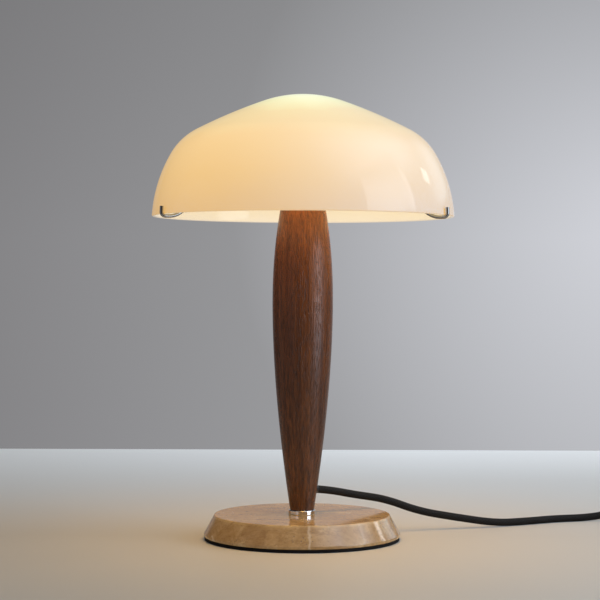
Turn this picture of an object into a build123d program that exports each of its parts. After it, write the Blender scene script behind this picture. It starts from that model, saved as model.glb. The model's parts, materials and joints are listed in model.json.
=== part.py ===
from build123d import *

import math
import os

# Table lamp: an opal dome rests in three wire hooks, on a turned wooden stem over a stone foot.
# Sizes are in millimetres. The origin is the middle of the foot's underside, on the table.
# +Z is up and -Y is the front.

# Fits: gaps between two facing surfaces
CLOSE_GAP = 0.05
SLIP_GAP = 0.15
RUN_GAP = 0.3

# Stone foot and the pad under it
PAD_HEIGHT = 3.0
PAD_INSET = 0.6
FOOT_RADIUS = 91.0
FOOT_TOP_RADIUS = 81.3
FOOT_HEIGHT = 20.0
FOOT_LAND = 2.5
FOOT_EDGE = 1.0

# Bolt, washer and insert that pull the stem down onto the foot
BOLT_RADIUS = 4.0
BOLT_PLAY = 0.5
BOLT_HEAD_ACROSS = 13.0
BOLT_HEAD_HEIGHT = 5.3
BOLT_SPARE = 1.2
WASHER_RADIUS = 15.0
WASHER_HEIGHT = 2.0
WASHER_PLAY = 0.5
INSERT_WALL = 2.0
INSERT_LENGTH = 12.0

# Collar and stem
COLLAR_RADIUS = 12.5
COLLAR_HEIGHT = 4.0
COLLAR_EDGE = 0.6
STEM_FOOT_RADIUS = 11.1
STEM_FOOT_SLOPE = 0.15
STEM_BELLY_RADIUS = 28.1
STEM_BELLY_RISE = 195.0
STEM_TOP_RADIUS = 20.7
STEM_TOP_SLOPE = 0.175
STEM_NECK = 86.0
STEM_EDGE = 0.8

# Wire arms on their hub
ARM_ANGLES = {"arm_right": 64.7, "arm_rear": 180.0, "arm_left": 297.8}
WIRE_RADIUS = 1.65
HUB_SEAT = 4.6
HUB_HEIGHT = 5.0
HUB_WEB = 1.0
ARM_DROP = 14.05
ARM_SLOPE = 31.0
ARM_BEND = 20.0
ARM_REST = 10.2
HOOK_GAP = 1.0
HOOK_BEND = 3.5
HOOK_HEIGHT = 8.8
HOOK_LEAN = 0.4
HOOK_TIP = 0.9
HUB_RING_WALL = 4.25
HUB_RING_HEIGHT = 6.0
HUB_RING_EDGE = 0.8

# Shade: tangent arcs from the crown down, with the slope in degrees where each one ends
SHADE_RADIUS = 140.0
SHADE_HEIGHT = 113.6
SHADE_WALL = 3.5
SHADE_RIM_ROUND = 1.4
CROWN_RADIUS = 112.0
CROWN_SLOPE = 20.0
FLANK_SLOPE = 27.5
SHOULDER_RADIUS = 56.0
SHOULDER_SLOPE = 60.0
SIDE_SLOPE = 84.0
SKIRT_LENGTH = 6.0

# Lamp holder, sunk into the stem's top
HOLDER_SUNK = 25.0
HOLDER_WALL = 2.0
CAP_HEIGHT = 18.0
CAP_FLOOR = 3.0
CAP_LEDGE = 12.0
CAP_LEDGE_WIDTH = 2.2
CORE_HEIGHT = 9.0
CORE_RIM = 0.45
SKIRT_HEIGHT = 30.0
SKIRT_ROOM = 2.5
SHELL_HEIGHT = 25.0
SHELL_WALL = 0.9
NIPPLE_WALL = 1.5
NIPPLE_STEP = 0.5
NIPPLE_SUNK = 21.0
NIPPLE_END = 0.6
NUT_WALL = 2.0
NUT_HEIGHT = 3.0
TERMINAL_RADIUS = 1.0
TERMINAL_LENGTH = 6.0
TERMINAL_HEAD_RADIUS = 1.5
TERMINAL_HEAD_HEIGHT = 1.5
CONTACT_WIDTH = 3.0
CONTACT_LENGTH = 10.0
CONTACT_SHEET = 0.5
CONTACT_RADIUS = 1.2
CONTACT_HEIGHT = 2.3

# Bulb with a screw cap
THREAD_PITCH = 2.822
THREAD_ROUND = 0.8
THREAD_GAP = 0.2
THREAD_HEIGHT = 12.6
THREAD_START = 2.0
BULB_CAP_RADIUS = 6.1
BULB_CAP_HEIGHT = 20.0
TIP_RADIUS = 2.4
TIP_HEIGHT = 1.6
INSULATOR_RADIUS = 3.0
INSULATOR_HEIGHT = 3.3
BULB_COLLAR_LIP = 1.1
BULB_COLLAR_HEIGHT = 14.2
BULB_NECK_RADIUS = 15.5
GLOBE_RADIUS = 22.5
GLOBE_WALL = 1.2
LED_PLATE_GAP = 0.7
LED_PLATE_HEIGHT = 1.6

# Wires in the stem
WIRE_CORE_RADIUS = 1.1
WIRE_SPACE = 0.5
WIRE_ROOM = 0.8
WIRE_BEND = 4.0
WIRE_SEAT = 4.0

# Cord, and the bush that it leaves the stem by
CORD_RADIUS = 3.3
EXIT_RISE = 18.0
EXIT_ANGLE = 40.0
BUSH_WALL = 1.75
BUSH_START = 7.0
BUSH_NOSE = 3.2
BUSH_NOSE_WALL = 0.65
LEAD_ROUTE = [
    (5.36, 4.5, 45.0),
    (24.0, 20.14, 45.0),
    (50.0, 36.0, 35.0),
    (80.0, 49.0, 31.3),
    (112.0, 58.5, 18.3),
    (150.0, 70.0, 10.0),
    (190.0, 81.0, 3.4),
    (222.0, 96.0, 3.3),
    (252.0, 117.0, 3.3),
    (288.0, 127.8, 3.3),
    (313.0, 134.5, 7.5),
    (338.0, 134.5, 7.5),
]
LINK_ROUTE = [
    (377.0, 134.5, 7.5),
    (402.5, 134.5, 7.5),
    (425.0, 121.5, 5.6),
    (437.2, 98.5, 4.4),
    (437.2, 73.5, 4.4),
]
TAIL_ROUTE = [
    (433.65, 60.3, 11.5),
    (433.65, 38.0, 11.5),
    (432.0, 15.0, 6.85),
    (429.6, -6.0, 6.85),
]

# Put-away coil: turns wound inwards on the table, then outwards again on top of them
COIL_CENTRE = (389.2, 66.9)
COIL_RADIUS = 48.0
COIL_GAP = 0.5
TURNS_IN = 2.75
TURNS_OUT = 2.25
TURNS_CLIMB = 0.5
QUARTERS = 4
TIE_SHEET = 0.8
TIE_WIDTH = 12.0
TIE_GAP = 0.3
TIE_CORNER = 3.0

# Inline switch, lying along +X
SWITCH_CENTRE = (357.5, 134.5)
SWITCH_LENGTH = 54.0
SWITCH_WIDTH = 26.0
SWITCH_HEIGHT = 16.0
SWITCH_CORNER = 9.0
SWITCH_EDGE = 2.0
SWITCH_WALL = 2.2
SWITCH_SPLIT = 7.5
SWITCH_SLEEVE = 6.0
SWITCH_SLEEVE_WALL = 1.6
SCREW_INSET = (8.0, 5.0)
SCREW_RADIUS = 1.2
SCREW_HEAD_RADIUS = 2.2
SCREW_HEAD_HEIGHT = 1.6
BOSS_RADIUS = 3.0
SCREW_BITE = 5.0
TERMINAL_OFFSET = 11.0
TERMINAL_ROOM = 1.2
TERMINAL_BLOCK = (8.0, 5.0, 4.5)
ROCKER_LENGTH = 20.0
ROCKER_WIDTH = 12.0
ROCKER_RISE = 12.3
ROCKER_TILT = 8.0
ROCKER_DEPTH = 2.6
ROCKER_HOLLOW = 1.8
ROCKER_PROUD = 1.6
ROCKER_ROOM = 1.3
ROCKER_SIDE_GAP = 0.4
AXLE_RADIUS = 1.25
CHEEK = 1.8

# Mains plug, lying flat
PLUG_WIDTH = 35.3
PLUG_HEIGHT = 13.7
PLUG_FRONT = 16.0
PLUG_TAPER = 17.0
PLUG_NECK = 12.4
PLUG_ROUND = 6.0
PIN_RADIUS = 2.0
PIN_LENGTH = 19.0
PIN_SEAT = 8.0
PIN_SPACING = 18.6
PIN_TIP = 1.2
SLEEVE_LENGTH = 24.0
SLEEVE_SEAT = 11.0
SLEEVE_FOOT_WALL = 2.05
SLEEVE_NOSE_WALL = 0.95

# Radii and places that follow from the sizes above
INSERT_RADIUS = BOLT_RADIUS + INSERT_WALL
SHELL_RADIUS = BULB_CAP_RADIUS + THREAD_ROUND + THREAD_GAP + SHELL_WALL
TERMINAL_REACH = SHELL_RADIUS + SLIP_GAP + TERMINAL_HEAD_RADIUS
CORE_RADIUS = TERMINAL_REACH + TERMINAL_HEAD_RADIUS + CORE_RIM
HOLDER_BORE_RADIUS = CORE_RADIUS + SLIP_GAP
HOLDER_RADIUS = HOLDER_BORE_RADIUS + HOLDER_WALL
POCKET_RADIUS = HOLDER_RADIUS + SLIP_GAP
HUB_RADIUS = POCKET_RADIUS + HUB_WEB + HUB_SEAT
HUB_RING_RADIUS = HOLDER_RADIUS + HUB_RING_WALL
WIRE_SPREAD = WIRE_CORE_RADIUS + WIRE_SPACE
NIPPLE_BORE_RADIUS = WIRE_SPREAD + WIRE_CORE_RADIUS + WIRE_ROOM
NIPPLE_RADIUS = NIPPLE_BORE_RADIUS + NIPPLE_WALL
STEM_BORE_RADIUS = NIPPLE_RADIUS - NIPPLE_STEP
NUT_ACROSS = 2 * (NIPPLE_RADIUS + NUT_WALL)
CORD_BORE_RADIUS = CORD_RADIUS + CLOSE_GAP
BUSH_RADIUS = CORD_BORE_RADIUS + BUSH_WALL
COIL_PITCH = 2 * CORD_RADIUS + COIL_GAP
COIL_INNER = COIL_RADIUS - COIL_PITCH * TURNS_IN
SCREW_X = SWITCH_LENGTH / 2 - SCREW_INSET[0]
SCREW_Y = SWITCH_WIDTH / 2 - SCREW_INSET[1]
SCREW_PLACES = [(-SCREW_X, SCREW_Y), (SCREW_X, -SCREW_Y)]
TERMINAL_Y = CORD_RADIUS + TERMINAL_ROOM + TERMINAL_BLOCK[1] / 2
TERMINAL_PLACES = [(-TERMINAL_OFFSET, TERMINAL_Y), (TERMINAL_OFFSET, -TERMINAL_Y)]

# Heights that follow from the sizes above
FOOT_TOP = PAD_HEIGHT + FOOT_HEIGHT
STEM_FOOT = FOOT_TOP + COLLAR_HEIGHT
STEM_BELLY = STEM_FOOT + STEM_BELLY_RISE
STEM_TOP = STEM_BELLY + STEM_NECK
BOLT_HEAD_FOOT = PAD_HEIGHT + BOLT_SPARE
WASHER_FOOT = BOLT_HEAD_FOOT + BOLT_HEAD_HEIGHT
WASHER_TOP = WASHER_FOOT + WASHER_HEIGHT
EXIT_HEIGHT = STEM_FOOT + EXIT_RISE
EXIT_RADIUS = STEM_FOOT_RADIUS + STEM_FOOT_SLOPE * EXIT_RISE
HUB_TOP = STEM_TOP + HUB_HEIGHT
ARM_LEVEL = STEM_TOP + HUB_HEIGHT / 2
HOOK_LEVEL = ARM_LEVEL - ARM_DROP
RIM_LEVEL = HOOK_LEVEL + WIRE_RADIUS + RUN_GAP
POCKET_FLOOR = STEM_TOP - HOLDER_SUNK
CAP_TOP = POCKET_FLOOR + CAP_HEIGHT
CORE_FOOT = POCKET_FLOOR + CAP_LEDGE
CORE_TOP = CORE_FOOT + CORE_HEIGHT
SKIRT_TOP = CAP_TOP + SKIRT_HEIGHT
NIPPLE_FOOT = POCKET_FLOOR - NIPPLE_SUNK
NUT_FOOT = POCKET_FLOOR + CAP_FLOOR
TIP_FOOT = CORE_TOP + CONTACT_HEIGHT + RUN_GAP
INSULATOR_FOOT = TIP_FOOT + TIP_HEIGHT
BULB_CAP_FOOT = INSULATOR_FOOT + INSULATOR_HEIGHT
BULB_COLLAR_BOTTOM = BULB_CAP_FOOT + BULB_CAP_HEIGHT
BULB_NECK = BULB_COLLAR_BOTTOM + BULB_COLLAR_HEIGHT
GLOBE_CENTRE = BULB_NECK + math.sqrt(GLOBE_RADIUS**2 - BULB_NECK_RADIUS**2)
COIL_FLOOR = TIE_SHEET + TIE_GAP + CORD_RADIUS

BASE = (Align.CENTER, Align.CENTER, Align.MIN)
EXIT_WAY = Vector(1, 0, 0).rotate(Axis.Z, EXIT_ANGLE)
EXIT_SIDE = EXIT_WAY.rotate(Axis.Z, 90)
EXIT_PLANE = Plane(origin=(0, 0, EXIT_HEIGHT), x_dir=EXIT_SIDE, z_dir=EXIT_WAY)


def disc(radius, bottom, top):
    """Upright cylinder on the lamp's axis."""
    return Pos(0, 0, bottom) * Cylinder(radius, top - bottom, align=BASE)


def turned(*outline):
    """Solid of revolution about Z from the (radius, height) corners of its half section."""
    corners = [(radius, 0, height) for radius, height in outline]
    return revolve(make_face(Polyline(*corners, close=True)), axis=Axis.Z)


def hexagon(across, bottom, height):
    """Six-sided prism on the lamp's axis, for a bolt head or a nut."""
    outline = RegularPolygon(across / 2, 6, major_radius=False)
    return Pos(0, 0, bottom) * extrude(outline, amount=height)


def round_edges(shape, radius, levels):
    """Round the circular edges that lie at the given heights."""
    circles = shape.edges().filter_by(GeomType.CIRCLE)
    chosen = [edge for edge in circles if any(abs(edge.center().Z - level) < 1e-3 for level in levels)]
    return fillet(chosen, radius)


def tube(path, radius):
    """Round tube along a path, with its volume compared with section times length."""
    section = Plane(origin=path @ 0, z_dir=path % 0) * Circle(radius)
    solid = sweep(section, path=path)
    share = solid.volume / (math.pi * radius**2 * path.length)
    print(f"  tube of {path.length:.1f} mm, volume at {share:.4f} of section times length")
    return solid


def route_path(route):
    """Straight runs joined by arcs as large as the runs allow."""
    points = [Vector(*point) for point in route]
    radii = []
    for before, corner, after in zip(points, points[1:], points[2:]):
        shorter = min((corner - before).length, (after - corner).length)
        turn = (corner - before).get_angle(after - corner)
        radii.append(0.45 * shorter / math.tan(math.radians(turn / 2)))
    print("  cord radii:", [round(radius) for radius in radii])
    return FilletPolyline(*points, radius=radii)


def foot_pad():
    return disc(FOOT_RADIUS - PAD_INSET, 0, PAD_HEIGHT)


def foot():
    land = PAD_HEIGHT + FOOT_LAND
    stone = turned((0, PAD_HEIGHT), (FOOT_RADIUS, PAD_HEIGHT), (FOOT_RADIUS, land),
                   (FOOT_TOP_RADIUS, FOOT_TOP), (0, FOOT_TOP))
    stone = round_edges(stone, FOOT_EDGE, [PAD_HEIGHT, land, FOOT_TOP])
    stone -= disc(BOLT_RADIUS + BOLT_PLAY, PAD_HEIGHT, FOOT_TOP)
    return stone - disc(WASHER_RADIUS + WASHER_PLAY, PAD_HEIGHT, WASHER_TOP)


def foot_washer():
    washer = disc(WASHER_RADIUS, WASHER_FOOT, WASHER_TOP)
    return washer - disc(BOLT_RADIUS + SLIP_GAP, WASHER_FOOT, WASHER_TOP)


def foot_bolt():
    head = hexagon(BOLT_HEAD_ACROSS, BOLT_HEAD_FOOT, BOLT_HEAD_HEIGHT)
    return head + disc(BOLT_RADIUS, WASHER_FOOT, STEM_FOOT + INSERT_LENGTH)


def stem_insert():
    top = STEM_FOOT + INSERT_LENGTH
    return disc(INSERT_RADIUS, STEM_FOOT, top) - disc(BOLT_RADIUS + CLOSE_GAP, STEM_FOOT, top)


def collar():
    ring = round_edges(disc(COLLAR_RADIUS, FOOT_TOP, STEM_FOOT), COLLAR_EDGE, [FOOT_TOP, STEM_FOOT])
    return ring - disc(BOLT_RADIUS + BOLT_PLAY, FOOT_TOP, STEM_FOOT)


def stem_blank():
    """The turned outside: a long taper that swells to the belly and draws in to the top."""
    third = STEM_BELLY_RISE / 3
    taper = Bezier(
        (STEM_FOOT_RADIUS, 0, STEM_FOOT),
        (STEM_FOOT_RADIUS + STEM_FOOT_SLOPE * third, 0, STEM_FOOT + third),
        (STEM_BELLY_RADIUS, 0, STEM_BELLY - third),
        (STEM_BELLY_RADIUS, 0, STEM_BELLY),
    )
    third = STEM_NECK / 3
    neck = Bezier(
        (STEM_BELLY_RADIUS, 0, STEM_BELLY),
        (STEM_BELLY_RADIUS, 0, STEM_BELLY + third),
        (STEM_TOP_RADIUS + STEM_TOP_SLOPE * third, 0, STEM_TOP - third),
        (STEM_TOP_RADIUS, 0, STEM_TOP),
    )
    closing = Polyline(neck @ 1, (0, 0, STEM_TOP), (0, 0, STEM_FOOT), taper @ 0)
    blank = revolve(make_face([taper, neck, *closing.edges()]), axis=Axis.Z)
    return round_edges(blank, STEM_EDGE, [STEM_FOOT, STEM_TOP])


def stem():
    wood = stem_blank()
    wood -= disc(INSERT_RADIUS + CLOSE_GAP, STEM_FOOT, STEM_FOOT + INSERT_LENGTH)
    wood -= disc(STEM_BORE_RADIUS, EXIT_HEIGHT, STEM_TOP)
    wood -= Pos(0, 0, EXIT_HEIGHT) * Sphere(STEM_BORE_RADIUS)
    wood -= disc(NIPPLE_RADIUS + CLOSE_GAP, NIPPLE_FOOT, STEM_TOP)
    wood -= disc(POCKET_RADIUS, POCKET_FLOOR, STEM_TOP)
    return wood - EXIT_PLANE * Cylinder(BUSH_RADIUS + CLOSE_GAP, STEM_BELLY_RADIUS, align=BASE)


def cord_bush():
    nose = EXIT_RADIUS + BUSH_NOSE
    return EXIT_PLANE * turned((CORD_BORE_RADIUS, BUSH_START), (BUSH_RADIUS, BUSH_START),
                               (BUSH_RADIUS, EXIT_RADIUS), (CORD_BORE_RADIUS + BUSH_NOSE_WALL, nose),
                               (CORD_BORE_RADIUS, nose))


def stem_wire(side):
    """Insulated wire from the cord's end up the bore to its terminal in the holder."""
    spread = EXIT_SIDE * (side * WIRE_SPREAD)
    level = Vector(0, 0, EXIT_HEIGHT)
    cord_end = Vector(*LEAD_ROUTE[0]) + spread
    top = Vector(0, 0, CORE_FOOT + WIRE_SEAT)
    return tube(FilletPolyline(cord_end, level + spread, top + spread, radius=WIRE_BEND), WIRE_CORE_RADIUS)


def arm_path():
    """Centre line of the arm that points along +X: out from the hub, down, under the rim and up."""
    leg = SHADE_RADIUS + HOOK_GAP + WIRE_RADIUS
    low = SHADE_RADIUS - ARM_REST
    high = low - ARM_DROP / math.tan(math.radians(ARM_SLOPE))
    root = POCKET_RADIUS + HUB_WEB
    return FilletPolyline(
        (root, 0, ARM_LEVEL),
        (high, 0, ARM_LEVEL),
        (low, 0, HOOK_LEVEL),
        (leg, 0, HOOK_LEVEL),
        (leg - HOOK_LEAN, 0, HOOK_LEVEL + HOOK_HEIGHT),
        radius=[ARM_BEND, ARM_BEND, HOOK_BEND],
    )


def arm(angle):
    """Arm at an angle from the front, turning towards +X, with its hook's tip rounded."""
    wire = tube(arm_path(), WIRE_RADIUS)
    tip = wire.faces().sort_by(Axis.Z)[-1].edges()
    return Rot(0, 0, angle - 90) * fillet(tip, HOOK_TIP)


def arm_hub():
    hub = disc(HUB_RADIUS, STEM_TOP, HUB_TOP) - disc(POCKET_RADIUS, STEM_TOP, HUB_TOP)
    seat = Plane(origin=(POCKET_RADIUS + HUB_WEB, 0, ARM_LEVEL), z_dir=(1, 0, 0))
    for angle in ARM_ANGLES.values():
        hub -= Rot(0, 0, angle - 90) * (seat * Cylinder(WIRE_RADIUS + CLOSE_GAP, HUB_RADIUS, align=BASE))
    return hub


def hub_ring():
    top = HUB_TOP + HUB_RING_HEIGHT
    ring = round_edges(disc(HUB_RING_RADIUS, HUB_TOP, top), HUB_RING_EDGE, [top])
    return ring - disc(HOLDER_RADIUS + CLOSE_GAP, HUB_TOP, top)


def solve_shade():
    """Radii of the flank and the side that bring the outline to the rim's radius and height."""
    crown, flank, shoulder, side = (
        math.radians(slope) for slope in (CROWN_SLOPE, FLANK_SLOPE, SHOULDER_SLOPE, SIDE_SLOPE)
    )
    reach = SHADE_RADIUS - CROWN_RADIUS * math.sin(crown) - SKIRT_LENGTH * math.cos(side)
    reach -= SHOULDER_RADIUS * (math.sin(shoulder) - math.sin(flank))
    drop = SHADE_HEIGHT - CROWN_RADIUS * (1 - math.cos(crown)) - SKIRT_LENGTH * math.sin(side)
    drop -= SHOULDER_RADIUS * (math.cos(flank) - math.cos(shoulder))
    flank_out = math.sin(flank) - math.sin(crown)
    flank_down = math.cos(crown) - math.cos(flank)
    side_out = math.sin(side) - math.sin(shoulder)
    side_down = math.cos(shoulder) - math.cos(side)
    whole = flank_out * side_down - side_out * flank_down
    return (reach * side_down - side_out * drop) / whole, (flank_out * drop - flank_down * reach) / whole


def shade_outline(inset):
    """Half outline from the crown to the rim, moved inwards by the inset."""
    flank_radius, side_radius = solve_shade()
    arcs = [(CROWN_RADIUS, CROWN_SLOPE), (flank_radius, FLANK_SLOPE),
            (SHOULDER_RADIUS, SHOULDER_SLOPE), (side_radius, SIDE_SLOPE)]
    here = Vector(0, 0, RIM_LEVEL + SHADE_HEIGHT - inset)
    slope = 0.0
    edges = []
    for radius, end_slope in arcs:
        arc_radius = radius - inset
        points = [here]
        for angle in ((slope + end_slope) / 2, end_slope):
            out = math.sin(math.radians(angle)) - math.sin(math.radians(slope))
            down = math.cos(math.radians(slope)) - math.cos(math.radians(angle))
            points.append(here + Vector(arc_radius * out, 0, -arc_radius * down))
        edges.append(ThreePointArc(*points))
        here = points[-1]
        slope = end_slope
    fall = here.Z - RIM_LEVEL
    edges.append(Line(here, here + Vector(fall / math.tan(math.radians(slope)), 0, -fall)))
    return edges


def shade():
    outer = shade_outline(0)
    inner = shade_outline(SHADE_WALL)
    rim = Line(outer[-1] @ 1, inner[-1] @ 1)
    crown = Line(outer[0] @ 0, inner[0] @ 0)
    dome = revolve(make_face([*outer, rim, *inner, crown]), axis=Axis.Z)
    return round_edges(dome, SHADE_RIM_ROUND, [RIM_LEVEL])


def nipple():
    top = NUT_FOOT + NUT_HEIGHT + NIPPLE_END
    return disc(NIPPLE_RADIUS, NIPPLE_FOOT, top) - disc(NIPPLE_BORE_RADIUS, NIPPLE_FOOT, top)


def nipple_nut():
    nut = hexagon(NUT_ACROSS, NUT_FOOT, NUT_HEIGHT)
    return nut - disc(NIPPLE_RADIUS + CLOSE_GAP, NUT_FOOT, NUT_FOOT + NUT_HEIGHT)


def holder_cap():
    bore = NIPPLE_RADIUS + CLOSE_GAP
    ledge = HOLDER_BORE_RADIUS - CAP_LEDGE_WIDTH
    return turned((bore, POCKET_FLOOR), (HOLDER_RADIUS, POCKET_FLOOR), (HOLDER_RADIUS, CAP_TOP),
                  (HOLDER_BORE_RADIUS, CAP_TOP), (HOLDER_BORE_RADIUS, CORE_FOOT), (ledge, CORE_FOOT),
                  (ledge, NUT_FOOT), (bore, NUT_FOOT))


def holder_core():
    core = disc(CORE_RADIUS, CORE_FOOT, CORE_TOP)
    for side in (-1, 1):
        wire_hole = disc(WIRE_CORE_RADIUS + CLOSE_GAP, CORE_FOOT, CORE_FOOT + WIRE_SEAT)
        core -= Pos(EXIT_SIDE * (side * WIRE_SPREAD)) * wire_hole
        screw_hole = disc(TERMINAL_RADIUS + CLOSE_GAP, CORE_TOP - TERMINAL_LENGTH, CORE_TOP)
        core -= Pos(side * TERMINAL_REACH, 0, 0) * screw_hole
    return core


def terminal_screws():
    head = disc(TERMINAL_HEAD_RADIUS, CORE_TOP, CORE_TOP + TERMINAL_HEAD_HEIGHT)
    screw = head + disc(TERMINAL_RADIUS, CORE_TOP - TERMINAL_LENGTH, CORE_TOP)
    return Compound(children=[Pos(side * TERMINAL_REACH, 0, 0) * screw for side in (-1, 1)])


def centre_contact():
    leaf = Pos(0, 0, CORE_TOP) * Box(CONTACT_LENGTH, CONTACT_WIDTH, CONTACT_SHEET, align=BASE)
    return leaf + disc(CONTACT_RADIUS, CORE_TOP, CORE_TOP + CONTACT_HEIGHT)


def thread(radius, round_radius, bottom, height):
    """Rounded right-hand ridge, wound about Z."""
    helix = Helix(THREAD_PITCH, height, radius, center=(0, 0, bottom))
    section = Plane(origin=helix @ 0, z_dir=helix % 0) * Circle(round_radius)
    return sweep(section, path=helix, is_frenet=True)


def screw_shell():
    """Socket with a groove one running gap larger than the bulb's thread, open at its top."""
    top = CORE_TOP + SHELL_HEIGHT
    start = BULB_CAP_FOOT + THREAD_START
    turns_below = 1
    bottom = start - turns_below * THREAD_PITCH
    end = top + 2 * THREAD_PITCH
    screw = disc(BULB_CAP_RADIUS + THREAD_GAP, CORE_TOP, end)
    screw += thread(BULB_CAP_RADIUS, THREAD_ROUND + THREAD_GAP, bottom, end - THREAD_PITCH - bottom)
    return disc(SHELL_RADIUS, CORE_TOP, top) - screw


def holder_skirt():
    room = CORE_TOP + SKIRT_ROOM
    bore = SHELL_RADIUS + CLOSE_GAP
    return turned((HOLDER_BORE_RADIUS, CAP_TOP), (HOLDER_RADIUS, CAP_TOP), (HOLDER_RADIUS, SKIRT_TOP),
                  (bore, SKIRT_TOP), (bore, room), (HOLDER_BORE_RADIUS, room))


def bulb_tip():
    return disc(TIP_RADIUS, TIP_FOOT, INSULATOR_FOOT)


def bulb_insulator():
    return turned((0, INSULATOR_FOOT), (INSULATOR_RADIUS, INSULATOR_FOOT), (BULB_CAP_RADIUS, BULB_CAP_FOOT),
                  (0, BULB_CAP_FOOT))


def bulb_cap():
    body = disc(BULB_CAP_RADIUS, BULB_CAP_FOOT, BULB_COLLAR_BOTTOM)
    return body + thread(BULB_CAP_RADIUS, THREAD_ROUND, BULB_CAP_FOOT + THREAD_START, THREAD_HEIGHT)


def bulb_collar():
    return turned((0, BULB_COLLAR_BOTTOM), (BULB_CAP_RADIUS + BULB_COLLAR_LIP, BULB_COLLAR_BOTTOM),
                  (BULB_NECK_RADIUS, BULB_NECK), (0, BULB_NECK))


def led_plate():
    inside = math.sqrt((GLOBE_RADIUS - GLOBE_WALL) ** 2 - (GLOBE_CENTRE - BULB_NECK) ** 2)
    return disc(inside - LED_PLATE_GAP, BULB_NECK, BULB_NECK + LED_PLATE_HEIGHT)


def bulb_globe():
    ball = Pos(0, 0, GLOBE_CENTRE) * (Sphere(GLOBE_RADIUS) - Sphere(GLOBE_RADIUS - GLOBE_WALL))
    return split(ball, bisect_by=Plane(origin=(0, 0, BULB_NECK)), keep=Keep.TOP)


def coil_point(turn):
    """Centre line of the coil after so many turns, clockwise from above."""
    radius = COIL_INNER + COIL_PITCH * abs(turn - TURNS_IN)
    climbed = (turn - TURNS_IN) / TURNS_CLIMB + 0.5
    climbed = min(1.0, max(0.0, climbed))
    rise = COIL_PITCH * climbed**2 * (3 - 2 * climbed)
    angle = -2 * math.pi * turn
    return Vector(*COIL_CENTRE, COIL_FLOOR) + Vector(radius * math.cos(angle), radius * math.sin(angle), rise)


def coil_way(turn):
    """Direction of the coil's centre line, square to its cut ends there."""
    if turn in (0, TURNS_IN + TURNS_OUT):
        return Vector(0, -1, 0)
    step = 0.01
    return (coil_point(turn + step) - coil_point(turn - step)).normalized()


def biarc(start, start_way, end, end_way):
    """Two tangent arcs from one point and direction to another."""
    chord = end - start
    square = 2 * (1 - start_way.dot(end_way))
    linear = 2 * chord.dot(start_way + end_way)
    constant = -chord.dot(chord)
    reach = (-linear + math.sqrt(linear**2 - 4 * square * constant)) / (2 * square)
    first_corner = start + start_way * reach
    last_corner = end - end_way * reach
    knee = (first_corner + last_corner) * 0.5
    return [TangentArc(start, knee, tangent=start_way),
            TangentArc(knee, end, tangent=(last_corner - first_corner).normalized())]


def coil_path():
    """Straight end, quarter turns as pairs of arcs, straight end."""
    count = round((TURNS_IN + TURNS_OUT) * QUARTERS)
    turns = [step / QUARTERS for step in range(count + 1)]
    end = 2 * CORD_RADIUS
    way_in = coil_way(turns[0])
    way_out = coil_way(turns[-1])
    edges = [Line(coil_point(turns[0]) - way_in * end, coil_point(turns[0]))]
    for before, after in zip(turns, turns[1:]):
        edges += biarc(coil_point(before), coil_way(before), coil_point(after), coil_way(after))
    edges.append(Line(coil_point(turns[-1]), coil_point(turns[-1]) + way_out * end))
    return Wire(edges)


def coil_gap(path):
    """Least gap between stretches of the coil that aren't neighbours along it."""
    count = 600
    points = [path.position_at(step / count) for step in range(count + 1)]
    apart = math.ceil(8 * CORD_RADIUS / (path.length / count))
    least = min((points[b] - points[a]).length
                for a in range(count + 1) for b in range(a + apart, count + 1))
    return least - 2 * CORD_RADIUS


def cord_coil():
    path = coil_path()
    print(f"  coil: least gap to itself {coil_gap(path):.2f} mm")
    return tube(path, CORD_RADIUS)


def cord_tie():
    """Strap round the bundle on the coil's front side, a quarter turn from its ends."""
    quarter = 1 / QUARTERS
    outer = COIL_RADIUS - COIL_PITCH * quarter + CORD_RADIUS + TIE_GAP
    inner_turn = COIL_INNER + COIL_PITCH * (TURNS_CLIMB - CORD_RADIUS / COIL_PITCH)
    inner = math.sqrt(inner_turn**2 - (TIE_WIDTH / 2) ** 2) - TIE_GAP
    span = outer - inner
    room = COIL_PITCH + 2 * CORD_RADIUS + 2 * TIE_GAP
    loop = RectangleRounded(span + 2 * TIE_SHEET, room + 2 * TIE_SHEET, TIE_CORNER + TIE_SHEET)
    loop -= RectangleRounded(span, room, TIE_CORNER)
    middle = (COIL_CENTRE[0] - TIE_WIDTH / 2, COIL_CENTRE[1] - (inner + outer) / 2, TIE_SHEET + room / 2)
    return extrude(Plane(origin=middle, x_dir=(0, 1, 0), z_dir=(1, 0, 0)) * loop, amount=TIE_WIDTH)


def at_switch(shape):
    return Pos(*SWITCH_CENTRE, 0) * shape


def switch_block(bottom, height, inset):
    """Rounded block of the switch's outline, drawn in by the inset."""
    outline = RectangleRounded(SWITCH_LENGTH - 2 * inset, SWITCH_WIDTH - 2 * inset, SWITCH_CORNER - inset)
    return Pos(0, 0, bottom) * extrude(outline, amount=height)


def cord_way():
    """Hole for the cord along the whole switch, at the height where its two shells part."""
    way = Cylinder(CORD_BORE_RADIUS, SWITCH_LENGTH, rotation=(0, 90, 0))
    return Pos(0, 0, SWITCH_SPLIT) * way


def switch_base():
    shell = switch_block(0, SWITCH_SPLIT, 0)
    shell = fillet(shell.faces().sort_by(Axis.Z)[0].edges(), SWITCH_EDGE)
    shell -= switch_block(SWITCH_WALL, SWITCH_SPLIT, SWITCH_WALL)
    for x, y in SCREW_PLACES:
        shell += Pos(x, y, 0) * disc(BOSS_RADIUS, SWITCH_EDGE, SWITCH_SPLIT)
        shell -= Pos(x, y, 0) * disc(SCREW_RADIUS + SLIP_GAP, 0, SWITCH_SPLIT)
        shell -= Pos(x, y, 0) * disc(SCREW_HEAD_RADIUS + SLIP_GAP, 0, SCREW_HEAD_HEIGHT)
    return at_switch(shell - cord_way())


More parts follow.
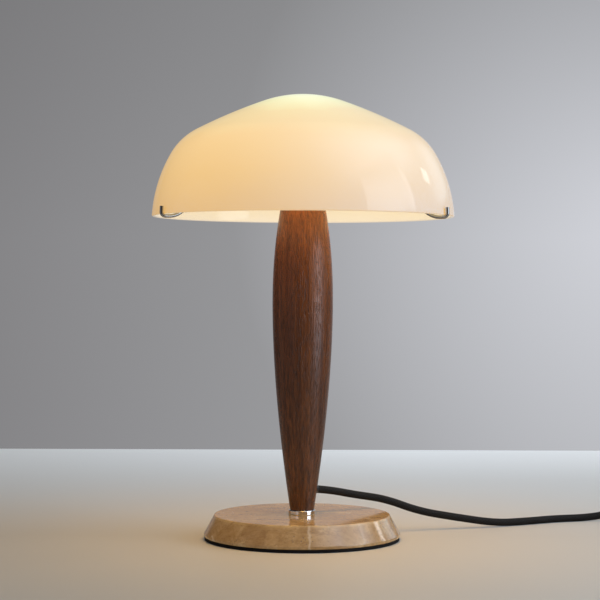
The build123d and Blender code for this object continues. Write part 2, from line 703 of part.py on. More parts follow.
def rocker_window():
    length = ROCKER_LENGTH + 2 * ROCKER_ROOM
    width = ROCKER_WIDTH + 2 * ROCKER_SIDE_GAP
    return Pos(0, 0, SWITCH_SPLIT) * Box(length, width, SWITCH_HEIGHT, align=BASE)


def switch_cover():
    shell = switch_block(SWITCH_SPLIT, SWITCH_HEIGHT - SWITCH_SPLIT, 0)
    shell = fillet(shell.faces().sort_by(Axis.Z)[-1].edges(), SWITCH_EDGE)
    shell -= switch_block(SWITCH_SPLIT, SWITCH_HEIGHT - SWITCH_SPLIT - SWITCH_WALL, SWITCH_WALL)
    cheek_middle = ROCKER_WIDTH / 2 + ROCKER_SIDE_GAP + CHEEK / 2
    cheek_height = SWITCH_HEIGHT - SWITCH_SPLIT - SWITCH_WALL / 2
    cheek = Box(ROCKER_LENGTH, CHEEK, cheek_height, align=BASE)
    for side in (-1, 1):
        shell += Pos(0, side * cheek_middle, SWITCH_SPLIT) * cheek
    for x, y in SCREW_PLACES:
        shell += Pos(x, y, 0) * disc(BOSS_RADIUS, SWITCH_SPLIT, SWITCH_HEIGHT - SWITCH_WALL / 2)
        shell -= Pos(x, y, 0) * disc(SCREW_RADIUS + CLOSE_GAP, SWITCH_SPLIT, SWITCH_SPLIT + SCREW_BITE)
    shell -= rocker_window()
    shell -= Pos(0, 0, ROCKER_RISE) * Cylinder(AXLE_RADIUS + CLOSE_GAP, SWITCH_WIDTH - 2 * SWITCH_WALL,
                                               rotation=(90, 0, 0))
    return at_switch(shell - cord_way())


def switch_rocker():
    """Shallow V across its top, tipped to its on side, with a round axle through it."""
    half = ROCKER_LENGTH / 2
    top = SWITCH_HEIGHT + ROCKER_PROUD
    bottom = ROCKER_RISE - ROCKER_DEPTH
    outline = Polyline((-half, 0, top), (0, 0, top - ROCKER_HOLLOW), (half, 0, top), (half, 0, ROCKER_RISE),
                       (half / 2, 0, bottom), (-half / 2, 0, bottom), (-half, 0, ROCKER_RISE), close=True)
    key = extrude(make_face(outline), amount=ROCKER_WIDTH / 2, dir=(0, 1, 0), both=True)
    axle_length = ROCKER_WIDTH + 2 * ROCKER_SIDE_GAP + 2 * CHEEK
    key += Pos(0, 0, ROCKER_RISE) * Cylinder(AXLE_RADIUS, axle_length, rotation=(90, 0, 0))
    tipped = key.rotate(Axis((0, 0, ROCKER_RISE), (0, 1, 0)), ROCKER_TILT)
    return at_switch(tipped)


def switch_screws():
    head = disc(SCREW_HEAD_RADIUS, 0, SCREW_HEAD_HEIGHT)
    screw = head + disc(SCREW_RADIUS, 0, SWITCH_SPLIT + SCREW_BITE)
    return Compound(children=[at_switch(Pos(x, y, 0) * screw) for x, y in SCREW_PLACES])


def switch_terminals():
    block = Box(*TERMINAL_BLOCK, align=BASE)
    return Compound(children=[at_switch(Pos(x, y, SWITCH_WALL) * block) for x, y in TERMINAL_PLACES])


def switch_sleeves():
    """Short tapered collars where the cord enters and leaves the switch."""
    nose = CORD_BORE_RADIUS + SWITCH_SLEEVE_WALL
    sleeve = turned((CORD_BORE_RADIUS, 0), (nose + SWITCH_SLEEVE_WALL, 0), (nose, SWITCH_SLEEVE),
                    (CORD_BORE_RADIUS, SWITCH_SLEEVE))
    ends = []
    for side in (-1, 1):
        face = Plane(origin=(side * SWITCH_LENGTH / 2, 0, SWITCH_SPLIT), z_dir=(side, 0, 0))
        ends.append(at_switch(face * sleeve))
    return Compound(children=ends)


def plug_plane():
    """Where the cord's tail ends: z points on along the cord, x across the plug."""
    end = Vector(*TAIL_ROUTE[-1])
    way = (end - Vector(*TAIL_ROUTE[-2])).normalized()
    return Plane(origin=end, x_dir=way.cross(Vector(0, 0, 1)), z_dir=way)


def plug_sleeve():
    length = SLEEVE_LENGTH - SLEEVE_SEAT
    return plug_plane() * turned((0, 0), (CORD_BORE_RADIUS, 0), (CORD_BORE_RADIUS, -SLEEVE_SEAT),
                                 (CORD_BORE_RADIUS + SLEEVE_NOSE_WALL, -SLEEVE_SEAT),
                                 (CORD_BORE_RADIUS + SLEEVE_FOOT_WALL, length), (0, length))


def plug_section(width, height):
    return RectangleRounded(width, height, min(PLUG_ROUND, 0.45 * height))


def plug_pin_places():
    return [Pos(side * PIN_SPACING / 2, 0, 0) for side in (-1, 1)]


def plug_body():
    neck = SLEEVE_LENGTH - SLEEVE_SEAT
    full = neck + PLUG_TAPER
    front = full + PLUG_FRONT
    taper = loft([Pos(0, 0, neck) * plug_section(PLUG_NECK + 2, PLUG_NECK),
                  Pos(0, 0, full) * plug_section(PLUG_WIDTH, PLUG_HEIGHT)])
    body = taper + Pos(0, 0, full) * extrude(plug_section(PLUG_WIDTH, PLUG_HEIGHT), amount=PLUG_FRONT)
    for place in plug_pin_places():
        body -= place * disc(PIN_RADIUS + CLOSE_GAP, front - PIN_SEAT, front)
    return plug_plane() * body


def plug_pins():
    front = SLEEVE_LENGTH - SLEEVE_SEAT + PLUG_TAPER + PLUG_FRONT
    pin = round_edges(disc(PIN_RADIUS, front - PIN_SEAT, front + PIN_LENGTH), PIN_TIP, [front + PIN_LENGTH])
    return Compound(children=[plug_plane() * (place * pin) for place in plug_pin_places()])


PIECES = {
    "foot_pad": foot_pad,
    "foot": foot,
    "foot_washer": foot_washer,
    "foot_bolt": foot_bolt,
    "stem_insert": stem_insert,
    "collar": collar,
    "stem": stem,
    "cord_bush": cord_bush,
    "live_wire": lambda: stem_wire(1),
    "neutral_wire": lambda: stem_wire(-1),
    "arm_hub": arm_hub,
    "arm_left": lambda: arm(ARM_ANGLES["arm_left"]),
    "arm_right": lambda: arm(ARM_ANGLES["arm_right"]),
    "arm_rear": lambda: arm(ARM_ANGLES["arm_rear"]),
    "hub_ring": hub_ring,
    "shade": shade,
    "nipple": nipple,
    "nipple_nut": nipple_nut,
    "holder_cap": holder_cap,
    "holder_core": holder_core,
    "terminal_screws": terminal_screws,
    "centre_contact": centre_contact,
    "screw_shell": screw_shell,
    "holder_skirt": holder_skirt,
    "bulb_tip": bulb_tip,
    "bulb_insulator": bulb_insulator,
    "bulb_cap": bulb_cap,
    "bulb_collar": bulb_collar,
    "led_plate": led_plate,
    "bulb_globe": bulb_globe,
    "cord_lead": lambda: tube(route_path(LEAD_ROUTE), CORD_RADIUS),
    "cord_link": lambda: tube(route_path(LINK_ROUTE), CORD_RADIUS),
    "cord_coil": cord_coil,
    "cord_tail": lambda: tube(route_path(TAIL_ROUTE), CORD_RADIUS),
    "cord_tie": cord_tie,
    "switch_base": switch_base,
    "switch_cover": switch_cover,
    "switch_rocker": switch_rocker,
    "switch_screws": switch_screws,
    "switch_terminals": switch_terminals,
    "switch_sleeves": switch_sleeves,
    "plug_sleeve": plug_sleeve,
    "plug_body": plug_body,
    "plug_pins": plug_pins,
}

os.makedirs("parts", exist_ok=True)
for name, make in PIECES.items():
    print(name)
    export_step(make(), f"parts/{name}.step")
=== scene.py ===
import bmesh
import bpy
import json
import math
from mathutils import Matrix, Quaternion, Vector


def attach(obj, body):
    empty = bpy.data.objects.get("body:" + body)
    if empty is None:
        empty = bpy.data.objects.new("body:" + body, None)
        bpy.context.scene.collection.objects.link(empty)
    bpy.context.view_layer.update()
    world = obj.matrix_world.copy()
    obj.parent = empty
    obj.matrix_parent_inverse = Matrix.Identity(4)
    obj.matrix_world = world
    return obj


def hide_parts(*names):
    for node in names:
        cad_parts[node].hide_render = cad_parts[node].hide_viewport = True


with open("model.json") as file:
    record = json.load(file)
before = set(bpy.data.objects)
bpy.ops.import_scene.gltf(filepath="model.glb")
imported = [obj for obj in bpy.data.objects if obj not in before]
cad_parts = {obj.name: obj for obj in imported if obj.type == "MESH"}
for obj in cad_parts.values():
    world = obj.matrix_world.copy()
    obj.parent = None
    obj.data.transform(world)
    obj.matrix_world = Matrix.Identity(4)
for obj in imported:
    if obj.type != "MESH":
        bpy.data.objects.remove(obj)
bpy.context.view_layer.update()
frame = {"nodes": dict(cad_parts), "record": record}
nodes = frame["nodes"]
slots = {part["node"]: part["material_slot"] for part in frame["record"]["subparts"]}

# Metres and degrees in the lamp's own frame, +Z up and -Y to the front; the cords' lines are in millimetres.
MM = 0.001

# Photograph's view
VIEW_DISTANCE = 1.596
VIEW_HEIGHT = 0.2315
VIEW_SIDE = -0.0026
VIEW_LENS = 103.2
VIEW_SENSOR = 36.0
VIEW_TILT = 0.356
VIEW_ROLL = -0.2

# Shade: each arc of its outline has a radius, a swing and a number of steps.
# Its heart is a height on its axis, and its whole outside faces away from there.
RIM_LEVEL = 0.2984
SHADE_HEART = 0.2484
SHADE_TOP = 0.412
SHADE_WALL = 0.0035
RIM_ROUND = 0.0014
SHADE_ARCS = [(0.112, 20.0, 14), (0.513507, 7.5, 14), (0.056, 32.5, 16), (0.131876, 24.0, 16)]
SHADE_TURNS = 192

# Cords
CORD_DIAMETER = 0.0073
LEAD_POINTS = [
    (5.36, 4.5, 46.0), (24.0, 20.14, 43.4), (50.0, 36.0, 36.8), (80.0, 49.0, 31.3),
    (112.0, 58.5, 18.5), (150.0, 70.0, 11.0), (190.0, 84.0, 3.75), (222.0, 99.0, 3.65),
    (252.0, 118.0, 3.65), (288.0, 127.8, 3.65), (313.0, 134.5, 7.5), (338.0, 134.5, 7.5),
]
LINK_POINTS = [
    (377.0, 134.5, 7.5), (402.5, 134.5, 7.5), (425.0, 121.5, 5.6), (437.2, 98.5, 4.4), (437.2, 80.0, 4.4),
]
TAIL_POINTS = [(433.65, 53.0, 11.5), (433.65, 38.0, 11.5), (432.0, 15.0, 6.85), (429.6, -6.0, 6.85)]
COIL_CENTRE = (389.2, 66.9)
COIL_FLOOR = 4.4
COIL_INNER = 28.475
COIL_PITCH = 7.1
TURNS_IN = 2.75
TURNS_OUT = 2.25
TURNS_CLIMB = 0.5
TURN_POINTS = 20

# Strap round the coil; its lapped end lies outside it by a step
STRAP_WIDTH = 0.012
STRAP_THICKNESS = 0.0008
STRAP_STEP = 0.0009
STRAP_NEAR = 0.01628
STRAP_FAR = 0.03991
STRAP_TOP = 0.0159
STRAP_CORNER = 0.0038
STRAP_EDGE = 0.00025
STRAP_LAP_START = 0.0225
STRAP_LAP_END = 0.0052

# Switch and plug on the cord
SWITCH_CENTRE = (0.3575, 0.1345, 0.0075)
SWITCH_OUTLINE = (0.054, 0.026)
SWITCH_END = (SWITCH_CENTRE[0] - SWITCH_OUTLINE[0] / 2, *SWITCH_CENTRE[1:])
SWITCH_CORNER = 0.009
SEAM_HEIGHT = 0.00035
SEAM_PROUD = 0.00006
SEAM_THICKNESS = 0.0005
PLUG_PLACE = MM * Vector(TAIL_POINTS[-1])
PLUG_WAY = (Vector(TAIL_POINTS[-1]) - Vector(TAIL_POINTS[-2])).normalized()
PLUG_NECK = 0.013
PLUG_FRONT = 0.046
PIN_SPACING = 0.0186
PIN_SKIN_RADIUS = 0.00212
PIN_SKIN_LENGTH = 0.0099
PIN_SKIN_SUNK = 0.0001
PIN_SKIN_ROUND = 0.0001
GRIP_CENTRE = 0.01285
GRIP_REACH = 0.0052
GRIP_RADIUS = 0.0006
GRIP_START = 0.0336
GRIP_PITCH = 0.0023
GRIP_COUNT = 5
GRIP_SWING = 84.0
PLUG_SLEEVE = {"foot": 0.00545, "nose": 0.0044, "length": 0.024,
               "start": 0.0035, "pitch": 0.003, "cuts": 6, "depth": 0.0007}
SWITCH_SLEEVE = {"foot": 0.0065, "nose": 0.0049, "length": 0.006,
                 "start": 0.0012, "pitch": 0.0019, "cuts": 2, "depth": 0.0006}
SLEEVE_CUT = 0.42
SLEEVE_BRIDGE = 0.35
SLEEVE_LIP = 0.0005
SLEEVE_INSET = 0.0001
SLEEVE_EDGE = 0.00012

# Ribs round the lamp holder; the rounding is a share of a rib's own radius
RING_GRIP = {"radius": 0.018, "low": 0.3138, "high": 0.3181, "rib": 0.0006, "count": 48}
SKIRT_GRIP = {"radius": 0.01375, "low": 0.3203, "high": 0.3288, "rib": 0.00045, "count": 48}
RIB_ROUND = 0.6

# Meshes: how near points count as one, and how far an edge turns before it stays sharp
SAME_PLACE = 1e-6
SHARP_ANGLE = 35.0

# Light of the lit glass by its height, from the rim to the top
GLOW_OUTSIDE = [
    (0.0, (0.755, 0.40, 0.07)), (0.3, (0.865, 0.475, 0.077)), (0.6, (0.955, 0.56, 0.13)),
    (0.82, (1.02, 0.705, 0.235)), (0.88, (1.07, 0.875, 0.36)), (0.94, (1.11, 1.0, 0.49)),
    (1.0, (1.24, 1.19, 0.77)),
]
GLOW_INSIDE = [
    (0.0, (0.755, 0.625, 0.465)), (0.2, (0.72, 0.56, 0.34)), (0.5, (0.78, 0.58, 0.32)),
    (1.0, (0.92, 0.68, 0.38)),
]

# Stage; the window's levels go from its foot to its top
FLOOR_HALF = 0.885
FILL_STRENGTH = 0.33
WINDOW = {"place": (1.6, -0.73, 1.0), "width": 1.55, "height": 2.4, "strength": 3.3}
WINDOW_LEVELS = [(0.0, 0.9), (0.1, 1.5), (0.2, 1.6), (0.32, 1.2), (0.5, 1.0), (0.86, 0.0)]
SLIT = {"place": (4.0, 2.1, 2.1), "aim": (0.107, -0.08, 0.332), "width": 0.56, "height": 0.52, "power": 3.6,
        "colour": (1.0, 0.99, 0.97), "turn": -32.0}
OWN_LIGHT = {"place": (0.010, 0, 0.37), "aim": (0.010, 0, 0), "width": 0.172, "height": 0.172, "power": 0.98,
             "colour": (1.0, 0.55, 0.13), "shape": "DISK"}


def put(tree, kind, inputs=None, **settings):
    """Add a node; each input is a plain value or a socket to link."""
    made = tree.nodes.new("ShaderNode" + kind)
    for name, value in settings.items():
        setattr(made, name, value)
    for name, value in (inputs or {}).items():
        if isinstance(value, bpy.types.NodeSocket):
            tree.links.new(value, made.inputs[name])
        else:
            made.inputs[name].default_value = value
    return made


def maths(tree, operation, *values, clamp=False):
    made = put(tree, "Math", dict(enumerate(values)), operation=operation, use_clamp=clamp)
    return made.outputs[0]


def times(tree, first, second):
    return maths(tree, "MULTIPLY", first, second)


def apart(tree, value, middle):
    """How far a value lies from a middle one, either way."""
    return maths(tree, "ABSOLUTE", maths(tree, "SUBTRACT", value, middle))


def between(tree, value, low, high, to_low=0.0, to_high=1.0):
    """Map a value from one range to another, held at both ends."""
    made = put(tree, "MapRange", {"Value": value, "From Min": low, "From Max": high,
                                  "To Min": to_low, "To Max": to_high})
    return made.outputs["Result"]


def mixed(tree, share, first, second):
    return put(tree, "Mix", {0: share, 6: first, 7: second}, data_type="RGBA").outputs[2]


def blended(tree, share, first, second):
    return put(tree, "Mix", {0: share, 2: first, 3: second}, data_type="FLOAT").outputs[0]


def ramp(tree, value, *stops):
    made = put(tree, "ValToRGB", {"Fac": value})
    elements = made.color_ramp.elements
    while len(elements) < len(stops):
        elements.new(1.0)
    for element, (place, colour) in zip(elements, stops):
        element.position = place
        element.color = (*colour, 1.0)
    return made.outputs["Color"]


def position(tree):
    """X, Y and Z of a point in its object's own frame."""
    return put(tree, "SeparateXYZ", {0: put(tree, "TexCoord").outputs["Object"]}).outputs


def stretched(tree, scale, place=(0, 0, 0), turn=(0, 0, 0)):
    """Object coordinates scaled by axis, for a pattern that runs along one of them."""
    coordinates = put(tree, "TexCoord").outputs["Object"]
    made = put(tree, "Mapping", {"Vector": coordinates, "Scale": scale, "Location": place,
                                 "Rotation": [math.radians(angle) for angle in turn]})
    return made.outputs["Vector"]


def noise(tree, vector, scale=1.0, detail=3.0, rough=0.5):
    made = put(tree, "TexNoise", {"Vector": vector, "Scale": scale, "Detail": detail, "Roughness": rough})
    return made.outputs["Fac"]


def wandering(tree, slow_scale, detail, usual_turn=(0, 0, 0)):
    """Maker of pattern coordinates that one slow noise pushes about."""
    slow = put(tree, "TexNoise", {"Vector": stretched(tree, slow_scale), "Scale": 1.0, "Detail": detail})
    slow = put(tree, "VectorMath", {0: slow.outputs["Color"], 1: (0.5, 0.5, 0.5)}, operation="SUBTRACT")

    def pushed(scale, shift, place=(0, 0, 0), turn=usual_turn):
        push = put(tree, "VectorMath", {0: slow.outputs[0], "Scale": shift}, operation="SCALE")
        straight = stretched(tree, scale, place, turn)
        return put(tree, "VectorMath", {0: straight, 1: push.outputs[0]}, operation="ADD").outputs[0]

    return pushed


def bump(tree, height, strength, depth):
    made = put(tree, "Bump", {"Height": height, "Strength": strength, "Distance": depth})
    return made.outputs["Normal"]


def new_group(name, inputs, outputs):
    """Empty node group with float inputs and their defaults, and float outputs."""
    tree = bpy.data.node_groups.new(name, "ShaderNodeTree")
    for label, default in inputs.items():
        socket = tree.interface.new_socket(name=label, in_out="INPUT", socket_type="NodeSocketFloat")
        socket.default_value = default
    for label in outputs:
        tree.interface.new_socket(name=label, in_out="OUTPUT", socket_type="NodeSocketFloat")
    start = tree.nodes.new("NodeGroupInput")
    end = tree.nodes.new("NodeGroupOutput")
    return tree, start.outputs, end.inputs


def moulded_skin():
    """Fine spark-eroded skin of a moulded piece, with slow patches of rubbed gloss."""
    defaults = {"Grain": 2500.0, "Gloss": 0.4, "Spread": 0.12}
    tree, given, out = new_group("moulded_skin", defaults, ("Height", "Roughness"))
    grain = noise(tree, stretched(tree, (1, 1, 1)), scale=given["Grain"], detail=2.0)
    patches = noise(tree, stretched(tree, (70, 70, 70)), detail=4.0)
    shift = times(tree, maths(tree, "SUBTRACT", patches, 0.5), given["Spread"])
    tree.links.new(grain, out["Height"])
    tree.links.new(maths(tree, "ADD", given["Gloss"], shift, clamp=True), out["Roughness"])
    return tree


def handled_metal():
    """Faint wipe marks and fine lines that break up a metal's gloss."""
    defaults = {"Gloss": 0.12, "Spread": 0.1, "Lines": 1.0}
    tree, given, out = new_group("handled_metal", defaults, ("Height", "Roughness"))
    wipes = noise(tree, stretched(tree, (60, 60, 90)), detail=5.0, rough=0.65)
    lines = noise(tree, stretched(tree, (400, 400, 5000)), detail=2.0)
    shift = times(tree, maths(tree, "SUBTRACT", wipes, 0.45), given["Spread"])
    tree.links.new(times(tree, lines, given["Lines"]), out["Height"])
    tree.links.new(maths(tree, "ADD", given["Gloss"], shift, clamp=True), out["Roughness"])
    return tree


def new_material(name, **inputs):
    material = bpy.data.materials.new(name)
    material.use_nodes = True
    tree = material.node_tree
    shader = tree.nodes["Principled BSDF"]
    for label, value in inputs.items():
        shader.inputs[label.replace("_", " ")].default_value = value
    return material, tree, shader


def feed(tree, shader, **sockets):
    for label, socket in sockets.items():
        tree.links.new(socket, shader.inputs[label.replace("_", " ")])


def grouped(tree, group, **values):
    made = tree.nodes.new("ShaderNodeGroup")
    made.node_tree = group
    for label, value in values.items():
        made.inputs[label].default_value = value
    return made.outputs


MOULDED_SKIN = moulded_skin()
HANDLED_METAL = handled_metal()


def moulded(name, dark, light, grain=2500.0, gloss=0.4, depth=0.00008, strength=0.35, **inputs):
    """Plastic, rubber or glazed finish between two close tones."""
    material, tree, shader = new_material(name, **inputs)
    skin = grouped(tree, MOULDED_SKIN, Grain=grain, Gloss=gloss)
    tone = between(tree, noise(tree, stretched(tree, (35, 35, 35)), detail=4.0), 0.3, 0.7)
    colour = mixed(tree, tone, (*dark, 1), (*light, 1))
    feed(tree, shader, Base_Color=colour, Roughness=skin["Roughness"],
         Normal=bump(tree, skin["Height"], strength, depth))
    return material


def metal(name, dark, light, gloss, spread, lines=1.0):
    material, tree, shader = new_material(name, Metallic=1.0)
    skin = grouped(tree, HANDLED_METAL, Gloss=gloss, Spread=spread, Lines=lines)
    tone = between(tree, noise(tree, stretched(tree, (45, 45, 45)), detail=5.0), 0.3, 0.7)
    colour = mixed(tree, tone, (*dark, 1), (*light, 1))
    feed(tree, shader, Base_Color=colour, Roughness=skin["Roughness"],
         Normal=bump(tree, skin["Height"], 0.2, 0.00001))
    return material


def walnut():
    """Walnut: layers, fibres and pores along the stem, dark lines mostly low down, a paler foot; painted
    light on its upper right and a painted highlight streak.
    """
    layers = [(0.3, (0.077, 0.0235, 0.0084)), (0.47, (0.120, 0.038, 0.0115)),
              (0.62, (0.172, 0.059, 0.0175)), (0.75, (0.22, 0.083, 0.026))]
    heart = (0.087, 0.028, 0.0105, 1)
    painted_light_top = (0.25, 0.108, 0.032, 1)
    painted_highlight_streak = (0.30, 0.125, 0.06, 1)
    pale_foot = (0.21, 0.083, 0.036, 1)
    dark_line = (0.030, 0.0105, 0.006, 1)
    dark_fibre = (0.034, 0.0125, 0.007, 1)
    dark_pore = (0.016, 0.0065, 0.004, 1)
    material, tree, shader = new_material("walnut", Specular_IOR_Level=0.42)
    parts = position(tree)
    grown = wandering(tree, (18, 18, 5), 2.0, (0, 0, 14))
    layer = noise(tree, grown((420, 90, 2.6), 2.2), detail=5.0, rough=0.62)
    broad = noise(tree, grown((62, 26, 3.4), 1.2, (5, 2, 1)), detail=3.0)
    fibre = noise(tree, grown((640, 640, 20), 2.0, (2, 9, 4)), detail=3.0, rough=0.6)
    pore = between(tree, noise(tree, grown((1300, 1300, 120), 2.0, (8, 1, 3)), detail=2.0), 0.54, 0.64)
    line = between(tree, noise(tree, grown((380, 380, 1.6), 0.6, (3, 6, 2)), detail=1.0), 0.5, 0.58)
    line = times(tree, line, between(tree, parts["Z"], 0.1, 0.2, 0.5, 0.12))
    # Painted light: the stem's upper right is lightened, as if lit by the lamp's warm light and the window.
    top = times(tree, between(tree, parts["X"], 0.002, 0.022), between(tree, parts["Z"], 0.225, 0.265))
    # Painted highlight: a narrow pale streak high on the stem's right side, standing in for the window's
    # gloss.
    streak = between(tree, apart(tree, parts["X"], 0.0135), 0.003, 0.008, 0.3, 0.0)
    streak = times(tree, streak, between(tree, parts["Z"], 0.19, 0.225))
    streak = times(tree, streak, between(tree, parts["Z"], 0.25, 0.275, 1.0, 0.0))
    colour = ramp(tree, layer, *layers)
    colour = mixed(tree, between(tree, broad, 0.4, 0.65, 0.0, 0.45), colour, heart)
    colour = mixed(tree, times(tree, top, 0.42), colour, painted_light_top)
    colour = mixed(tree, streak, colour, painted_highlight_streak)
    colour = mixed(tree, between(tree, parts["Z"], 0.1, 0.2, 0.22, 0.04), colour, pale_foot)
    colour = mixed(tree, line, colour, dark_line)
    colour = mixed(tree, between(tree, fibre, 0.45, 0.68, 0.0, 0.5), colour, dark_fibre)
    colour = mixed(tree, times(tree, pore, 0.45), colour, dark_pore)
    height = maths(tree, "SUBTRACT", times(tree, fibre, -1.0), times(tree, pore, 0.6))
    feed(tree, shader, Base_Color=colour, Normal=bump(tree, height, 0.8, 0.00032),
         Roughness=between(tree, fibre, 0.3, 0.7, 0.21, 0.34))
    return material


def stone():
    """Polished tan stone: level streaks, mottled patches, brown threads, pits, a few pale veins and one pale
    line down the front; painted warm lamp light on its top face.
    """
    patches = [(0.3, (0.385, 0.228, 0.092)), (0.45, (0.47, 0.296, 0.129)),
               (0.57, (0.55, 0.366, 0.178)), (0.7, (0.67, 0.495, 0.28))]
    painted_lamp_light_top = (0.76, 0.53, 0.245, 1)
    dark_streak = (0.365, 0.215, 0.092, 1)
    dark_grit = (0.29, 0.16, 0.068, 1)
    dark_thread = (0.25, 0.135, 0.056, 1)
    pale_vein = (0.80, 0.70, 0.56, 1)
    dark_pit = (0.09, 0.045, 0.022, 1)
    material, tree, shader = new_material("stone", Specular_IOR_Level=0.85)
    parts = position(tree)
    laid = wandering(tree, (22, 22, 22), 4.0)
    streak = noise(tree, laid((9, 85, 120), 1.4, turn=(0, 0, 6)), detail=6.0, rough=0.62)
    patch = noise(tree, laid((42, 46, 60), 1.2, (4, 2, 1)), detail=6.0, rough=0.66)
    grit = noise(tree, stretched(tree, (330, 330, 420)), detail=5.0, rough=0.72)
    thread = noise(tree, laid((12, 60, 75), 1.8, (1, 5, 2), (0, 0, -8)), detail=6.0, rough=0.6)
    thread = between(tree, apart(tree, thread, 0.5), 0.0, 0.03, 1.0, 0.0)
    vein = noise(tree, laid((30, 8, 9), 1.0, (7, 3, 6)), detail=3.0)
    vein = between(tree, apart(tree, vein, 0.5), 0.0, 0.012, 1.0, 0.0)
    vein = times(tree, vein, between(tree, patch, 0.52, 0.6))
    bend = noise(tree, stretched(tree, (60, 60, 120)), detail=2.0)
    bend = times(tree, maths(tree, "SUBTRACT", bend, 0.5), 0.008)
    # One narrow pale line set down the front of the foot at a fixed place, joined to the veins.
    stray = maths(tree, "ADD", maths(tree, "SUBTRACT", parts["X"], 0.0062), bend)
    stray = between(tree, maths(tree, "ABSOLUTE", stray), 0.0002, 0.0018, 0.6, 0.0)
    stray = times(tree, stray, between(tree, parts["Y"], -0.082, -0.078, 1.0, 0.0))
    vein = maths(tree, "MAXIMUM", vein, stray)
    pit = put(tree, "TexVoronoi", {"Vector": stretched(tree, (1, 1, 1)), "Scale": 310.0}).outputs["Distance"]
    pitted = noise(tree, stretched(tree, (40, 40, 40)), detail=2.0)
    pit = times(tree, between(tree, pit, 0.15, 0.24, 1.0, 0.0), between(tree, pitted, 0.54, 0.62))
    colour = ramp(tree, patch, *patches)
    # Painted light: the top face is warmed and lightened, as if by the lamp's light from above.
    colour = mixed(tree, between(tree, parts["Z"], 0.0205, 0.0217, 0.0, 0.42), colour, painted_lamp_light_top)
    colour = mixed(tree, between(tree, streak, 0.5, 0.66, 0.0, 0.65), colour, dark_streak)
    colour = mixed(tree, between(tree, grit, 0.54, 0.68, 0.0, 0.5), colour, dark_grit)
    colour = mixed(tree, times(tree, thread, 0.34), colour, dark_thread)
    colour = mixed(tree, times(tree, vein, 0.7), colour, pale_vein)
    colour = mixed(tree, times(tree, pit, 0.75), colour, dark_pit)
    rough = maths(tree, "ADD", between(tree, grit, 0.3, 0.7, 0.08, 0.14), times(tree, pit, 0.4))
    feed(tree, shader, Base_Color=colour, Roughness=rough,
         Normal=bump(tree, times(tree, pit, -1.0), 0.5, 0.0002))
    return material


def opal(name, base, *glow):
    """Opal glass lit from inside: the glow follows the height, with faint clouds and waves."""
    material, tree, shader = new_material(name, Roughness=0.3, Specular_IOR_Level=0.0, Coat_Weight=0.6,
                                          Coat_Roughness=0.07, Emission_Strength=1.0)
    cloud = noise(tree, stretched(tree, (18, 18, 26)), detail=3.0)
    level = maths(tree, "ADD", between(tree, position(tree)["Z"], RIM_LEVEL, SHADE_TOP),
                  between(tree, cloud, 0.3, 0.7, -0.03, 0.03), clamp=True)
    tint = mixed(tree, between(tree, cloud, 0.3, 0.7), (*base, 1), [0.96 * part for part in base] + [1])
    waves = noise(tree, stretched(tree, (22, 22, 30)), detail=1.0)
    wavy = bump(tree, waves, 0.06, 0.002)
    feed(tree, shader, Base_Color=tint, Emission_Color=ramp(tree, level, *glow),
         Normal=wavy, Coat_Normal=wavy)
    return material


def braided():
    """Textile braid on the cord's own map: U is metres along it, V goes once round."""
    strand, strands_round = 0.0034, 8.0
    tones = [(0.1, (0.004, 0.0038, 0.0038)), (0.6, (0.012, 0.011, 0.011)), (1.0, (0.024, 0.022, 0.021))]
    material, tree, shader = new_material("cord_braid", Sheen_Weight=0.02, Sheen_Roughness=0.4,
                                          Specular_IOR_Level=0.2)
    parts = put(tree, "SeparateXYZ", {0: put(tree, "TexCoord").outputs["UV"]}).outputs
    along = times(tree, parts["X"], 1.0 / strand)
    across = times(tree, parts["Y"], strands_round)
    one = maths(tree, "ADD", across, along)
    two = maths(tree, "SUBTRACT", across, along)
    one_round = maths(tree, "ABSOLUTE", maths(tree, "SINE", times(tree, one, math.pi)))
    two_round = maths(tree, "ABSOLUTE", maths(tree, "SINE", times(tree, two, math.pi)))
    over = maths(tree, "ADD", maths(tree, "FLOOR", one), maths(tree, "FLOOR", two))
    height = blended(tree, maths(tree, "PINGPONG", over, 1.0), one_round, two_round)
    fluff = noise(tree, stretched(tree, (2600, 2600, 2600)), detail=2.0)
    # Painted shade: the hollows between the strands are darker; the fluff gives the strands their own tone.
    tone = times(tree, height, between(tree, fluff, 0.2, 0.8, 0.6, 1.0))
    relief = maths(tree, "ADD", height, times(tree, fluff, 0.25))
    feed(tree, shader, Base_Color=ramp(tree, tone, *tones),
         Roughness=between(tree, tone, 0.0, 1.0, 0.85, 0.58), Normal=bump(tree, relief, 0.8, 0.00022))
    return material


def strap_weave():
    """Ribbed webbing across the strap."""
    rib_pitch = 0.0011
    material, tree, shader = new_material("tie_strap", Sheen_Weight=0.3, Sheen_Roughness=0.5)
    rib = maths(tree, "SINE", times(tree, position(tree)["X"], 2 * math.pi / rib_pitch))
    loops = noise(tree, stretched(tree, (1500, 1500, 1500)), detail=3.0)
    height = maths(tree, "ADD", times(tree, rib, 0.3), loops)
    colour = ramp(tree, loops, (0.3, (0.012, 0.012, 0.013)), (0.7, (0.035, 0.034, 0.036)))
    feed(tree, shader, Base_Color=colour, Roughness=between(tree, loops, 0.3, 0.7, 0.75, 0.9),
         Normal=bump(tree, height, 0.7, 0.0002))
    return material


